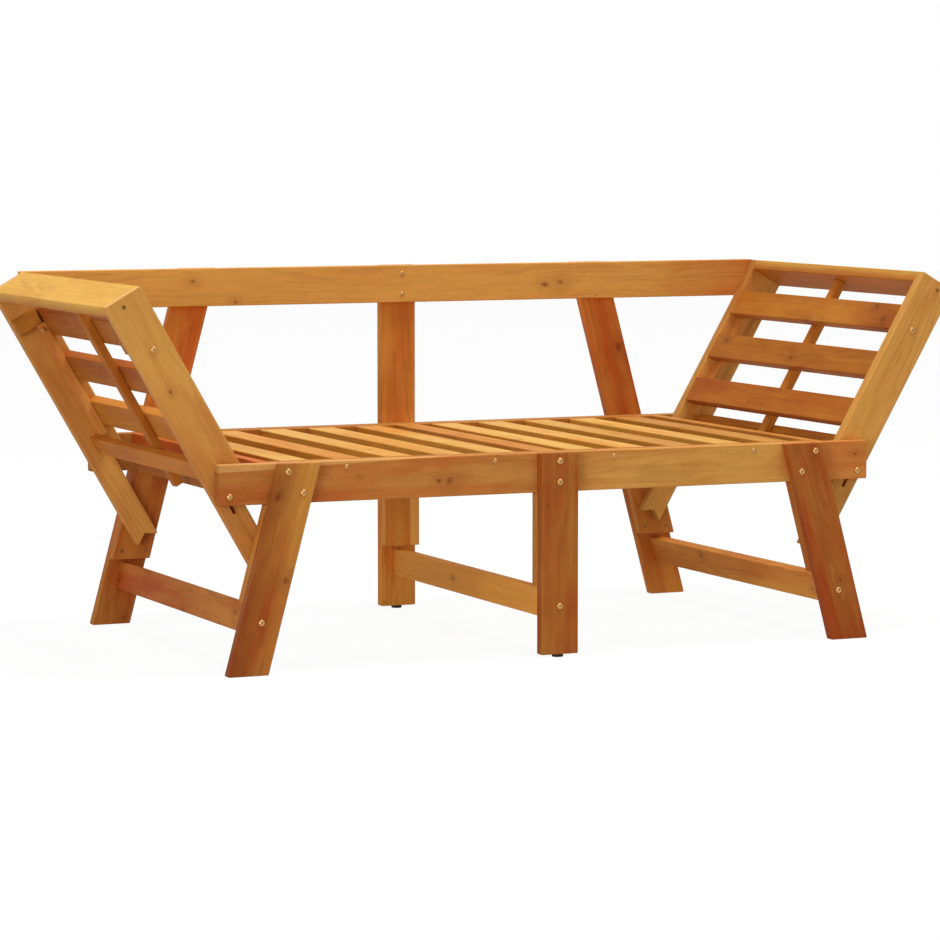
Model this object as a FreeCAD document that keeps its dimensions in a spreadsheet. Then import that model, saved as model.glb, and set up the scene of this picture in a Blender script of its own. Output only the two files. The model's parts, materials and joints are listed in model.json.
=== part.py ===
import FreeCAD, Part

import os
from math import cos, pi, sin

import Sketcher
from FreeCAD import Placement, Rotation, Vector

os.makedirs("parts", exist_ok=True)
doc = FreeCAD.newDocument("bench")

# Slatted garden bench of oiled hardwood. Two slatted end panels hang on pivot bolts
# between the seat rails: they stand tilted as arm rests, or swing down level with the seat.
# +X runs along the bench to its right end, -Y is the front, +Z is up. The origin is on the
# floor under the middle of the bench. All sizes are in millimetres, all angles in degrees.

SIZES = {
    # Boards
    "board_thickness": 20,
    "edge_bevel": 1.5,
    # Seat rails, measured over their outer faces
    "seat_height": 354.4,
    "rail_height": 69,
    "rail_length": 1234,
    "rail_span": 702,
    # Legs and posts, the end ones leaning in towards the seat
    "leg_width": 70,
    "leg_spread": 1220,
    "leg_lean": 15,
    "back_height": 653.6,
    "spacer_foot": 121.5,
    "glide_diameter": 20,
    "glide_height": 5,
    "top_rail_height": 70,
    "top_rail_length": 1494,
    # Stretchers between the feet
    "stretcher_level": 89,
    "stretcher_width": 50,
    # Seat frame and slats
    "seat_frame_length": 1074,
    "middle_rail_thickness": 22,
    "middle_gap": 0.6,
    "strip_width": 20,
    "strip_height": 20,
    "slat_width": 51,
    "slat_drop": 1,
    "seat_slat_start": 77,
    "seat_slat_pitch": 96.3,
    "batten_width": 24,
    "batten_thickness": 15,
    "seat_batten_offset": 285,
    # End panels, measured from the pivot along and across their arms
    "panel_tilt": 30,
    "pivot_inset": 19,
    "pivot_rise": 14.8,
    "arm_length": 379.4,
    "arm_width": 71,
    "arm_outer": 21,
    "tail_width": 44,
    "tail_length": 165,
    "tail_notch": 15,
    "tail_step": 10,
    "step_round": 8,
    "groove_travel": 32,
    "groove_depth": 14,
    "swing_clearance": 2,
    "notch_side_clearance": 4,
    "panel_slat_drop": 93.8,
    "panel_slat_pitch": 96.3,
    "middle_batten_drop": 25,
    "side_batten_start": 51,
    "bottom_board_start": 22,
    "bottom_board_width": 35,
    "block_drop": 62.4,
    "block_inset": 1,
    "block_thickness": 18,
    "block_height": 30,
    "block_width": 47,
    # Pivot bolts of the end panels
    "head_diameter": 11.5,
    "head_height": 3,
    "pivot_diameter": 6.9,
    "running_fit": 0.05,
    "seat_gap": 0.2,
    "washer_diameter": 18,
    "washer_thickness": 1.6,
    "bolt_end_gap": 0.5,
}

SEAT_SLATS = 5
PANEL_SLATS = 3
SIDES = {"left": -1, "right": 1}
PLACES = {"left": -1, "centre": 0, "right": 1}

sheet = doc.addObject("Spreadsheet::Sheet", "sizes")
for row, (name, value) in enumerate(SIZES.items(), start=1):
    sheet.set(f"A{row}", name)
    sheet.set(f"B{row}", str(value))
    sheet.setAlias(f"B{row}", name)
doc.recompute()

# Faces and levels that several pieces share, as formulas on the sizes
RAIL_OUTER = "(sizes.rail_span / 2)"
RAIL_INNER = "(sizes.rail_span / 2 - sizes.board_thickness)"
RAIL_MIDDLE = "(sizes.rail_span / 2 - sizes.board_thickness / 2)"
LEG_MIDDLE = "(sizes.rail_span / 2 + sizes.board_thickness / 2)"
RAIL_FOOT = "(sizes.seat_height - sizes.rail_height)"
PIVOT_X = "(sizes.rail_length / 2 - sizes.pivot_inset)"
PIVOT_Z = "(sizes.seat_height - sizes.rail_height + sizes.pivot_rise)"
ARM_OUTER = f"({RAIL_INNER} - sizes.washer_thickness - 2 * sizes.seat_gap)"
ARM_INNER = f"({ARM_OUTER} - sizes.board_thickness)"
SEAT_END = "(sizes.seat_frame_length / 2 - sizes.board_thickness)"
SEAT_START = "(sizes.middle_gap / 2 + sizes.middle_rail_thickness)"
SLAT_TOP = "(sizes.seat_height - sizes.slat_drop)"
SLAT_FOOT = f"({SLAT_TOP} - sizes.board_thickness)"
PIVOT_HOLE = "(sizes.pivot_diameter + 2 * sizes.running_fit)"

ALONG_X = Vector(1, 0, 0)
ALONG_Y = Vector(0, 1, 0)
ALONG_Z = Vector(0, 0, 1)


def new_body(label):
    """An empty body that carries its node's name."""
    body = doc.addObject("PartDesign::Body", label)
    body.Label = label
    return body


def new_sketch(body, plane, offset=None):
    """A sketch on one of the body's own planes, moved out by an offset along its normal.

    The normal of the XZ plane points to the front, -Y.
    """
    sketch = body.newObject("Sketcher::SketchObject", "profile")
    base = [item for item in body.Origin.OriginFeatures if item.Role == plane][0]
    sketch.AttachmentSupport = [(base, "")]
    sketch.MapMode = "FlatFace"
    if offset:
        sketch.setExpression("AttachmentOffset.Base.z", offset)
    return sketch


def fix_point(sketch, geometry, point, place):
    """Hold one point of a sketch at a place given by two formulas."""
    now = sketch.getPoint(geometry, point)
    for kind, value, formula in zip(("DistanceX", "DistanceY"), (now.x, now.y), place):
        number = sketch.addConstraint(Sketcher.Constraint(kind, -1, 1, geometry, point, value))
        sketch.setExpression(f"Constraints[{number}]", formula)


def draw_outline(sketch, corners):
    """A closed outline of straight edges through corners given by formulas."""
    count = len(corners)
    start = sketch.GeometryCount
    ring = [Vector(cos(2 * pi * i / count), sin(2 * pi * i / count), 0) for i in range(count)]
    for i in range(count):
        sketch.addGeometry(Part.LineSegment(ring[i], ring[(i + 1) % count]))
    for i in range(count):
        following = start + (i + 1) % count
        sketch.addConstraint(Sketcher.Constraint("Coincident", start + i, 2, following, 1))
    for i, corner in enumerate(corners):
        fix_point(sketch, start + i, 1, corner)


def draw_circle(sketch, centre, diameter):
    """A circle whose centre and diameter are formulas."""
    circle = sketch.addGeometry(Part.Circle(Vector(1, 1, 0), Vector(0, 0, 1), 1))
    fix_point(sketch, circle, 3, centre)
    number = sketch.addConstraint(Sketcher.Constraint("Diameter", circle, 2.0))
    sketch.setExpression(f"Constraints[{number}]", diameter)


def draw_slot(sketch, travel, diameter):
    """A slot that runs down the sketch's Y axis from a round end at its origin."""
    upright = Vector(0, 0, 1)
    radius = SIZES["pivot_diameter"] / 2
    low = -SIZES["groove_travel"]
    end_circle = Part.Circle(Vector(0, low, 0), upright, radius)
    top = sketch.addGeometry(Part.ArcOfCircle(Part.Circle(Vector(), upright, radius), 0, pi))
    left = sketch.addGeometry(Part.LineSegment(Vector(-radius, 0, 0), Vector(-radius, low, 0)))
    foot = sketch.addGeometry(Part.ArcOfCircle(end_circle, pi, 2 * pi))
    right = sketch.addGeometry(Part.LineSegment(Vector(radius, low, 0), Vector(radius, 0, 0)))
    for first, second in ((top, left), (left, foot), (foot, right), (right, top)):
        sketch.addConstraint(Sketcher.Constraint("Tangent", first, 2, second, 1))
    fix_point(sketch, top, 3, ("0", "0"))
    fix_point(sketch, foot, 3, ("0", f"-{travel}"))
    number = sketch.addConstraint(Sketcher.Constraint("Diameter", top, 2 * radius))
    sketch.setExpression(f"Constraints[{number}]", diameter)


def pad(body, sketch, length, side="Symmetric", backwards=False):
    """Give a sketch its length, to both sides of its plane or to one."""
    feature = body.newObject("PartDesign::Pad", "pad")
    feature.Profile = sketch
    feature.SideType = side
    feature.Reversed = backwards
    feature.setExpression("Length", length)
    sketch.Visibility = False
    doc.recompute()
    return feature


def cut(body, sketch, depth=None, forwards=False):
    """Cut a sketch right through the body, or to a depth on one side of its plane."""
    before = body.Shape.Volume
    feature = body.newObject("PartDesign::Pocket", "pocket")
    feature.Profile = sketch
    if depth:
        feature.Reversed = forwards
        feature.setExpression("Length", depth)
    else:
        feature.SideType = "Symmetric"
        feature.Type = "ThroughAll"
    doc.recompute()
    if body.Shape.Volume >= before:
        raise ValueError(f"{body.Label}: a cut removed nothing")


def mirror(body, features):
    """Repeat features of the front half on the back half."""
    feature = body.newObject("PartDesign::Mirrored", "mirrored")
    plane = [item for item in body.Origin.OriginFeatures if item.Role == "XZ_Plane"][0]
    feature.Originals = features
    feature.MirrorPlane = (plane, [""])
    body.Tip = feature
    doc.recompute()


def dress_edges(body, kind, chosen, size_name, size):
    """Round or bevel the edges that a test on each edge chooses."""
    base = body.Tip
    names = [f"Edge{number}" for number, edge in enumerate(base.Shape.Edges, start=1)
             if edge.Curve.TypeId == "Part::GeomLine" and chosen(edge)]
    feature = body.newObject(kind, "edges")
    feature.Base = (base, names)
    feature.setExpression(size_name, size)
    doc.recompute()


def round_edges(body, chosen, radius):
    """Round chosen edges to a radius."""
    dress_edges(body, "PartDesign::Fillet", chosen, "Radius", radius)


def ease_edges(body, direction):
    """Plane a small bevel on all edges that run along a direction."""
    dress_edges(body, "PartDesign::Chamfer", runs_along(direction), "Size", "sizes.edge_bevel")


def runs_along(direction):
    """A test that is true for an edge that runs nearly along a direction."""
    return lambda edge: abs(edge.tangentAt(edge.FirstParameter).dot(direction)) > 0.9


def board(label, outlines, length, grain, plane="XZ_Plane"):
    """A board, or a set of like boards, with its long edges eased."""
    body = new_body(label)
    sketch = new_sketch(body, plane)
    for corners in outlines:
        draw_outline(sketch, corners)
    pad(body, sketch, length)
    ease_edges(body, grain)
    return body


def rectangle(low_x, high_x, low_y, high_y):
    """The four corners of an upright rectangle."""
    return [(low_x, low_y), (high_x, low_y), (high_x, high_y), (low_x, high_y)]


def leg_x(side, height, share=0.5):
    """X of a leg at a height, with share 0 at its outer edge and 1 at its inner edge."""
    if side == 0:
        return f"({share} - 0.5) * sizes.leg_width"
    return (f"{side} * (sizes.leg_spread / 2 - ({height}) * tan(sizes.leg_lean)"
            f" - {share} * sizes.leg_width / cos(sizes.leg_lean))")


def leg_outline(side, low, high):
    """A leg's outline, cut level at its foot and its top."""
    return [(leg_x(side, low, 0), low), (leg_x(side, low, 1), low),
            (leg_x(side, high, 1), high), (leg_x(side, high, 0), high)]



# Seat rails, between the legs and the spacers, with the pivot holes near their ends
for label, middle in (("front_rail", f"-{RAIL_MIDDLE}"), ("back_rail", RAIL_MIDDLE)):
    outline = rectangle("-sizes.rail_length / 2", "sizes.rail_length / 2",
                        RAIL_FOOT, "sizes.seat_height")
    rail = board(label, [outline], "sizes.board_thickness", ALONG_X)
    holes = new_sketch(rail, "XZ_Plane")
    for side in SIDES.values():
        draw_circle(holes, (f"{side} * {PIVOT_X}", PIVOT_Z), PIVOT_HOLE)
    cut(rail, holes)
    rail.setExpression("Placement.Base.y", middle)

# Top rail, on the front of the posts, long enough to meet the tilted end panels
outline = rectangle("-sizes.top_rail_length / 2", "sizes.top_rail_length / 2",
                    "sizes.back_height - sizes.top_rail_height", "sizes.back_height")
top_rail = board("top_rail", [outline], "sizes.board_thickness", ALONG_X)
top_rail.setExpression("Placement.Base.y", RAIL_MIDDLE)

# Front legs and back posts. The two centre ones stand on glides and are shorter by them.
for place, side in PLACES.items():
    foot = "sizes.glide_height" if side == 0 else "0"
    leg = board(f"front_leg_{place}", [leg_outline(side, foot, "sizes.seat_height")],
                "sizes.board_thickness", ALONG_Z)
    leg.setExpression("Placement.Base.y", f"-{LEG_MIDDLE}")
    post = board(f"back_post_{place}", [leg_outline(side, foot, "sizes.back_height")],
                 "sizes.board_thickness", ALONG_Z)
    post.setExpression("Placement.Base.y", LEG_MIDDLE)

    # Spacers that thicken the legs below the rails
    for row, middle in (("front", f"-{RAIL_MIDDLE}"), ("back", RAIL_MIDDLE)):
        spacer = board(f"{row}_spacer_{place}",
                       [leg_outline(side, "sizes.spacer_foot", RAIL_FOOT)],
                       "sizes.board_thickness", ALONG_Z)
        spacer.setExpression("Placement.Base.y", middle)

    # Stretcher from the front leg to the back post, leaning as they do
    outline = rectangle("-sizes.board_thickness / 2", "sizes.board_thickness / 2",
                        "-sizes.stretcher_width / 2", "sizes.stretcher_width / 2")
    stretcher = board(f"stretcher_{place}", [outline], "sizes.rail_span", ALONG_Y)
    stretcher.Placement = Placement(Vector(), Rotation(ALONG_Y, 1))
    stretcher.setExpression("Placement.Rotation.Angle", f"{-side} * sizes.leg_lean")
    stretcher.setExpression("Placement.Base.x", leg_x(side, "sizes.stretcher_level"))
    stretcher.setExpression("Placement.Base.z", "sizes.stretcher_level")

# Glides under the two centre legs
glides = new_body("foot_glides")
sketch = new_sketch(glides, "XY_Plane")
for middle in (f"-{LEG_MIDDLE}", LEG_MIDDLE):
    draw_circle(sketch, ("0", middle), "sizes.glide_diameter")
pad(glides, sketch, "sizes.glide_height", "One side")

# Seat: each half is a frame of two cross rails and two strips, with slats on battens.
# The outer cross rails are notched so that the tails of the end panels pass under them.
notch_top = f"({PIVOT_Z} + sizes.tail_width - sizes.arm_outer + sizes.swing_clearance)"
notch_side = f"({ARM_INNER} - sizes.notch_side_clearance)"
for half, side in SIDES.items():
    outer_outline = [
        (f"-{RAIL_INNER}", "sizes.seat_height"), (f"-{RAIL_INNER}", notch_top),
        (f"-{notch_side}", notch_top), (f"-{notch_side}", RAIL_FOOT),
        (notch_side, RAIL_FOOT), (notch_side, notch_top),
        (RAIL_INNER, notch_top), (RAIL_INNER, "sizes.seat_height")]
    outer_rail = board(f"cross_rail_outer_{half}", [outer_outline], "sizes.board_thickness",
                       ALONG_Y, "YZ_Plane")
    outer_rail.setExpression("Placement.Base.x",
                             f"{side} * ({SEAT_END} + sizes.board_thickness / 2)")

    inner_outline = rectangle(f"-{RAIL_INNER}", RAIL_INNER, RAIL_FOOT, "sizes.seat_height")
    inner_rail = board(f"cross_rail_inner_{half}", [inner_outline],
                       "sizes.middle_rail_thickness", ALONG_Y, "YZ_Plane")
    inner_rail.setExpression(
        "Placement.Base.x", f"{side} * (sizes.middle_gap + sizes.middle_rail_thickness) / 2")

    span = f"{SEAT_END} - {SEAT_START}"
    span_middle = f"{side} * ({SEAT_END} + {SEAT_START}) / 2"
    outline = rectangle("-sizes.strip_width / 2", "sizes.strip_width / 2",
                        "sizes.seat_height - sizes.strip_height", "sizes.seat_height")
    for row, sign in (("front", "-"), ("back", "")):
        strip = board(f"seat_strip_{half}_{row}", [outline], span, ALONG_X, "YZ_Plane")
        strip.setExpression("Placement.Base.x", span_middle)
        strip.setExpression("Placement.Base.y",
                            f"{sign}({RAIL_INNER} - sizes.strip_width / 2)")

    battens = board(f"seat_battens_{half}",
                    [rectangle(f"{row} * sizes.seat_batten_offset - sizes.batten_width / 2",
                               f"{row} * sizes.seat_batten_offset + sizes.batten_width / 2",
                               f"{SLAT_FOOT} - sizes.batten_thickness", SLAT_FOOT)
                     for row in (-1, 0, 1)],
                    span, ALONG_X, "YZ_Plane")
    battens.setExpression("Placement.Base.x", span_middle)

    for number in range(SEAT_SLATS):
        middle = f"{side} * (sizes.seat_slat_start + {number} * sizes.seat_slat_pitch)"
        outline = rectangle(f"{middle} - sizes.slat_width / 2", f"{middle} + sizes.slat_width / 2",
                            SLAT_FOOT, SLAT_TOP)
        board(f"seat_slat_{half}_{number + 1}", [outline],
              f"2 * ({RAIL_INNER} - sizes.strip_width)", ALONG_Y)


# End panels. Their pieces are drawn in the panel's own plane: the sketch's Y axis runs up
# along the arm from the pivot, and "across" runs from the outer edge towards the seat.
INNER_EDGE = "(sizes.arm_width - sizes.arm_outer)"
SLAT_BACK = f"({INNER_EDGE} - sizes.board_thickness)"
BATTEN_BACK = f"({SLAT_BACK} - sizes.batten_thickness)"
CAP_FOOT = "(sizes.arm_length - sizes.board_thickness)"
BLOCK_TOP = "(sizes.arm_length - sizes.block_drop)"
BLOCK_FOOT = f"({BLOCK_TOP} - sizes.block_height)"


def panel_rectangle(side, low_across, high_across, low, high):
    """A rectangle across and along one end panel."""
    return rectangle(f"{-side} * ({low_across})", f"{-side} * ({high_across})", low, high)


def set_in_panel(body, side, middle):
    """Place a piece that was drawn in the panel's plane."""
    body.Placement = Placement(Vector(), Rotation(ALONG_Y, 1))
    body.setExpression("Placement.Rotation.Angle", f"{side} * sizes.panel_tilt")
    body.setExpression("Placement.Base.x", f"{side} * {PIVOT_X}")
    body.setExpression("Placement.Base.y", middle)
    body.setExpression("Placement.Base.z", PIVOT_Z)


def arm(label, side, row):
    """An arm: wide above the pivot, with a narrower tail below that ends in a V notch.

    A blind groove in its outer face runs down from the pivot, so that the panel can be
    lifted off its catch. Row is -1 for the front arm and 1 for the back one.
    """
    body = new_body(label)
    sketch = new_sketch(body, "XZ_Plane")
    tail_edge = "sizes.tail_width - sizes.arm_outer"
    corners = [("-sizes.arm_outer", "sizes.arm_length"), (INNER_EDGE, "sizes.arm_length"),
               (INNER_EDGE, "sizes.tail_step"), (tail_edge, "sizes.tail_step"),
               (tail_edge, "-sizes.tail_length"),
               ("sizes.tail_width / 2 - sizes.arm_outer", "sizes.tail_notch - sizes.tail_length"),
               ("-sizes.arm_outer", "-sizes.tail_length")]
    draw_outline(sketch, [(f"{-side} * ({across})", along) for across, along in corners])
    pad(body, sketch, "sizes.board_thickness")

    step = Vector(-side * (SIZES["tail_width"] - SIZES["arm_outer"]), 0, SIZES["tail_step"])

    def is_step(edge):
        return runs_along(ALONG_Y)(edge) and edge.CenterOfMass.distanceToPoint(step) < 1

    round_edges(body, is_step, "sizes.step_round")
    ease_edges(body, ALONG_Z)
    groove = new_sketch(body, "XZ_Plane", f"{-row} * sizes.board_thickness / 2")
    draw_slot(groove, "sizes.groove_travel", PIVOT_HOLE)
    cut(body, groove, "sizes.groove_depth", forwards=row > 0)
    set_in_panel(body, side, f"{row} * ({ARM_OUTER} - sizes.board_thickness / 2)")


for end, side in SIDES.items():
    arm(f"{end}_arm_front", side, -1)
    arm(f"{end}_arm_back", side, 1)

    cap = board(f"{end}_cap",
                [panel_rectangle(side, "-sizes.arm_outer", INNER_EDGE,
                                 CAP_FOOT, "sizes.arm_length")],
                f"2 * {ARM_INNER}", ALONG_Y)
    set_in_panel(cap, side, "0")

    for number in range(PANEL_SLATS):
        middle = (f"(sizes.arm_length - sizes.panel_slat_drop"
                  f" - {PANEL_SLATS - 1 - number} * sizes.panel_slat_pitch)")
        slat = board(f"{end}_panel_slat_{number + 1}",
                     [panel_rectangle(side, SLAT_BACK, INNER_EDGE,
                                      f"{middle} - sizes.slat_width / 2",
                                      f"{middle} + sizes.slat_width / 2")],
                     f"2 * {ARM_INNER}", ALONG_Y)
        set_in_panel(slat, side, "0")

    bottom_board = board(f"{end}_bottom_board",
                         [panel_rectangle(side, f"{BATTEN_BACK} - sizes.batten_thickness",
                                          BATTEN_BACK, "sizes.bottom_board_start",
                                          "sizes.bottom_board_start + sizes.bottom_board_width")],
                         f"2 * {ARM_INNER}", ALONG_Y)
    set_in_panel(bottom_board, side, "0")

    # Battens behind the slats: the middle one runs from below the bottom board to the cap,
    # the outer two lie along the arms above that board
    battens = new_body(f"{end}_panel_battens")
    middle_sketch = new_sketch(battens, "XZ_Plane")
    draw_outline(middle_sketch, panel_rectangle(side, BATTEN_BACK, SLAT_BACK,
                                                "-sizes.middle_batten_drop", CAP_FOOT))
    pad(battens, middle_sketch, "sizes.batten_width")
    side_sketch = new_sketch(battens, "XZ_Plane", f"{ARM_INNER} - sizes.batten_width / 2")
    draw_outline(side_sketch, panel_rectangle(side, BATTEN_BACK, SLAT_BACK,
                                              "sizes.side_batten_start", BLOCK_FOOT))
    mirror(battens, [pad(battens, side_sketch, "sizes.batten_width")])
    ease_edges(battens, ALONG_Z)
    set_in_panel(battens, side, "0")

    # Blocks on the arms' inner faces, standing on the ends of the outer battens
    blocks = new_body(f"{end}_arm_blocks")
    sketch = new_sketch(blocks, "XZ_Plane", f"{ARM_INNER} - sizes.block_thickness / 2")
    block_edge = "sizes.block_inset - sizes.arm_outer"
    draw_outline(sketch, panel_rectangle(side, block_edge, f"{block_edge} + sizes.block_width",
                                         BLOCK_FOOT, BLOCK_TOP))
    mirror(blocks, [pad(blocks, sketch, "sizes.block_thickness")])
    ease_edges(blocks, ALONG_Z)
    set_in_panel(blocks, side, "0")

    # Pivot bolts: each passes through a rail and a washer into the groove of an arm
    pivots = new_body(f"{end}_pivot_bolts")
    centre = ("0", "0")
    head_face = f"({RAIL_OUTER} + sizes.seat_gap)"
    groove_floor = f"({ARM_OUTER} - sizes.groove_depth)"
    head_sketch = new_sketch(pivots, "XZ_Plane", head_face)
    draw_circle(head_sketch, centre, "sizes.head_diameter")
    head = pad(pivots, head_sketch, "sizes.head_height", "One side")
    shank_sketch = new_sketch(pivots, "XZ_Plane", head_face)
    draw_circle(shank_sketch, centre, "sizes.pivot_diameter")
    shank = pad(pivots, shank_sketch, f"{head_face} - {groove_floor} - sizes.bolt_end_gap",
                "One side", backwards=True)
    washer_sketch = new_sketch(pivots, "XZ_Plane", f"{RAIL_INNER} - sizes.seat_gap")
    draw_circle(washer_sketch, centre, "sizes.washer_diameter")
    draw_circle(washer_sketch, centre, f"{PIVOT_HOLE} + sizes.seat_gap")
    washer = pad(pivots, washer_sketch, "sizes.washer_thickness", "One side", backwards=True)
    mirror(pivots, [head, shank, washer])
    pivots.setExpression("Placement.Base.x", f"{side} * {PIVOT_X}")
    pivots.setExpression("Placement.Base.z", PIVOT_Z)

doc.recompute()
for item in doc.Objects:
    if "Invalid" in item.State or "Error" in item.State:
        raise ValueError(f"{item.Label} did not compute")
nodes = [item for item in doc.Objects if item.TypeId == "PartDesign::Body"]
for node in nodes:
    if node.Shape.isNull() or not node.Shape.isValid():
        raise ValueError(f"{node.Label} has no valid solid")
for node in nodes:
    node.Shape.exportStep(f"parts/{node.Label}.step")
print(f"{len(nodes)} nodes, {sum(len(node.Shape.Solids) for node in nodes)} solids")
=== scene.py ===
import json

import bpy
import numpy as np
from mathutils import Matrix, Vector
from mathutils.geometry import delaunay_2d_cdt


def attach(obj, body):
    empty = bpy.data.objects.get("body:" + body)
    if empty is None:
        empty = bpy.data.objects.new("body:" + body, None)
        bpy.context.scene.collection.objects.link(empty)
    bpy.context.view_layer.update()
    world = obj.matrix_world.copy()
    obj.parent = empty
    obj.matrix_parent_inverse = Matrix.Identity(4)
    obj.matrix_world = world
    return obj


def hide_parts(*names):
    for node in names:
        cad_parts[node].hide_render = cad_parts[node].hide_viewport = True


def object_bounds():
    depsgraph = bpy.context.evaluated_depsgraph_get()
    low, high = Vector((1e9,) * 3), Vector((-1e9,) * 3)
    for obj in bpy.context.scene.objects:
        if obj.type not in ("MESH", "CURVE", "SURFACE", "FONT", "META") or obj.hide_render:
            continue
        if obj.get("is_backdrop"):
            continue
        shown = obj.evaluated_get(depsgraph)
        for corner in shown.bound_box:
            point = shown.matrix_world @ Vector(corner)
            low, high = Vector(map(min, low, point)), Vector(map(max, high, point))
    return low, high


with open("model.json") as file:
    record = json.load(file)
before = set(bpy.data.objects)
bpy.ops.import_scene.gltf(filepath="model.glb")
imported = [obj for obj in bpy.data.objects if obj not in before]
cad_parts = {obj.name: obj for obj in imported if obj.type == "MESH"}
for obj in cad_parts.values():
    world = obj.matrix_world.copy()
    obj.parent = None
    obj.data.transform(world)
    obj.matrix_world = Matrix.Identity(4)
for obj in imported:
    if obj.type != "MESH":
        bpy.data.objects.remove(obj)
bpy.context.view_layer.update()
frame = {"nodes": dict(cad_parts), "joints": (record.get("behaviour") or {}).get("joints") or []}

# Camera: a long lens at low standing height, in front of the bench and to its left,
# pitched a little down. It is the photograph's viewing angle, and its place, turn and lens
# put the bench's straight edges where the photograph has them.

CAMERA_PLACE = (-2.7541, -6.2240, 0.9244)
CAMERA_PITCH = 4.5
CAMERA_TURN = -23.879
CAMERA_LENS = 144.34
CAMERA_SHIFT = (-0.0040, -0.0556)
camera_data = bpy.data.cameras.new("camera")
camera = bpy.data.objects.new("camera", camera_data)
bpy.context.scene.collection.objects.link(camera)
bpy.context.scene.camera = camera
camera.location = CAMERA_PLACE
camera.rotation_euler = np.radians((90 - CAMERA_PITCH, 0, CAMERA_TURN))
camera_data.sensor_width = 36
camera_data.lens = CAMERA_LENS
camera_data.shift_x, camera_data.shift_y = CAMERA_SHIFT
camera_data.clip_end = 60

# Studio: a white floor that keeps a faint soft shadow, a white surround, a broad lamp
# overhead that lights the tops most, and a weak low one from the front left.


def linear(hex_colour):
    """Turn an sRGB hex colour into the linear values that a shader takes, by sRGB's curve."""
    parts = [int(hex_colour[i:i + 2], 16) / 255 for i in (1, 3, 5)]
    return [p / 12.92 if p <= 0.04045 else ((p + 0.055) / 1.055) ** 2.4 for p in parts] + [1.0]


def add(tree, kind, inputs, **settings):
    """Add one node and return its outputs.

    Settings are its properties. Inputs are plain values, sockets, or another node's outputs,
    of which the first is linked.
    """
    node = tree.nodes.new(kind)
    for name, value in settings.items():
        setattr(node, name, value)
    for key, value in inputs.items():
        if isinstance(value, bpy.types.bpy_prop_collection):
            value = value[0]
        if isinstance(value, bpy.types.NodeSocket):
            tree.links.new(value, node.inputs[key])
        else:
            node.inputs[key].default_value = value
    return node.outputs


def new_material(name):
    """A new material and its node tree, emptied."""
    material = bpy.data.materials.new(name)
    material.use_nodes = True
    material.node_tree.nodes.clear()
    return material, material.node_tree


def new_piece(name, points, faces, material):
    """Make one mesh object from an array of points and lists of point numbers for its faces."""
    mesh = bpy.data.meshes.new(name)
    mesh.from_pydata(np.asarray(points, float).tolist(), [], faces)
    mesh.materials.append(material)
    mesh.polygons.foreach_set("use_smooth", np.ones(len(mesh.polygons), bool))
    piece = bpy.data.objects.new(name, mesh)
    bpy.context.scene.collection.objects.link(piece)
    return piece


def white_rays(tree):
    """1 for the rays that should meet plain white, from the camera or off polished metal."""
    path = add(tree, "ShaderNodeLightPath", {})
    return add(tree, "ShaderNodeMath", {0: path["Is Camera Ray"], 1: path["Is Glossy Ray"]},
               operation="MAXIMUM")


# White floor paint: it is matt, and mostly shown as plain white, so that the eye sees no
# more of the floor than the bench's faint, soft shadow.
FLOOR_HALF = 14.0
FLOOR_WHITENESS = 0.85
FLOOR_GLOW = 1.10
floor_paint, tree = new_material("white_studio_floor")
matt = add(tree, "ShaderNodeBsdfDiffuse", {"Color": linear("#B9B9B9")})
glow = add(tree, "ShaderNodeEmission", {"Color": linear("#FFFFFF"), "Strength": FLOOR_GLOW})
share = add(tree, "ShaderNodeMath", {0: white_rays(tree), 1: FLOOR_WHITENESS},
            operation="MULTIPLY")
both = add(tree, "ShaderNodeMixShader", {0: share, 1: matt, 2: glow})
add(tree, "ShaderNodeOutputMaterial", {"Surface": both})
floor_corners = [(-FLOOR_HALF, -FLOOR_HALF, 0), (FLOOR_HALF, -FLOOR_HALF, 0),
                 (FLOOR_HALF, FLOOR_HALF, 0), (-FLOOR_HALF, FLOOR_HALF, 0)]
floor = new_piece("studio_floor", floor_corners, [(0, 1, 2, 3)], floor_paint)
floor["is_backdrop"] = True

SURROUND_LIGHT = 0.46
world = bpy.data.worlds.new("studio_surround")
bpy.context.scene.world = world
world.use_nodes = True
tree = world.node_tree
tree.nodes.clear()
strength = add(tree, "ShaderNodeMapRange", {"Value": white_rays(tree),
                                            "To Min": SURROUND_LIGHT, "To Max": 1.0})
sky = add(tree, "ShaderNodeBackground", {"Color": linear("#FFFFFF"), "Strength": strength})
add(tree, "ShaderNodeOutputWorld", {"Surface": sky})

# Each lamp's place, its watts and its width, and the point that all of them face.
LAMPS = {"top_lamp": ((0.9, -0.9, 6.5), 300, 3.0), "low_lamp": ((-4.0, -3.4, 0.8), 80, 2.0)}
LAMP_AIM = Vector((0, 0, 0.3))
for name, (place, watts, size) in LAMPS.items():
    lamp_data = bpy.data.lights.new(name, "AREA")
    lamp_data.energy = watts
    lamp_data.size = size
    lamp = bpy.data.objects.new(name, lamp_data)
    bpy.context.scene.collection.objects.link(lamp)
    lamp.location = place
    lamp.rotation_euler = (LAMP_AIM - lamp.location).to_track_quat("-Z", "Y").to_euler()
bpy.context.scene.view_settings.view_transform = "Standard"

# Seat rails and top rail: long planed acacia boards on edge. Their long edges are rounded
# over by a router, the ends are sawn square, and the wood is wiped with a honey-coloured oil.

# The router leaves edges of 2 mm radius and the sanding corners of 2.4 mm, drawn in a few
# steps each, and a point every 40 mm divides the long sides.
EDGE_ROUND = 0.0020
CORNER_ROUND = 0.0024
ROUND_STEPS = 4
SIDE_STEP = 0.04
# Sawn ends keep part of their edges' sharpness, and sanding by hand makes the edges vary by
# an eighth, in waves of 110 mm, which are 57 radians a metre.
END_SHARPNESS = 0.6
SANDING_SHARE = 0.12
SANDING_WAVE = 57
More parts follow.
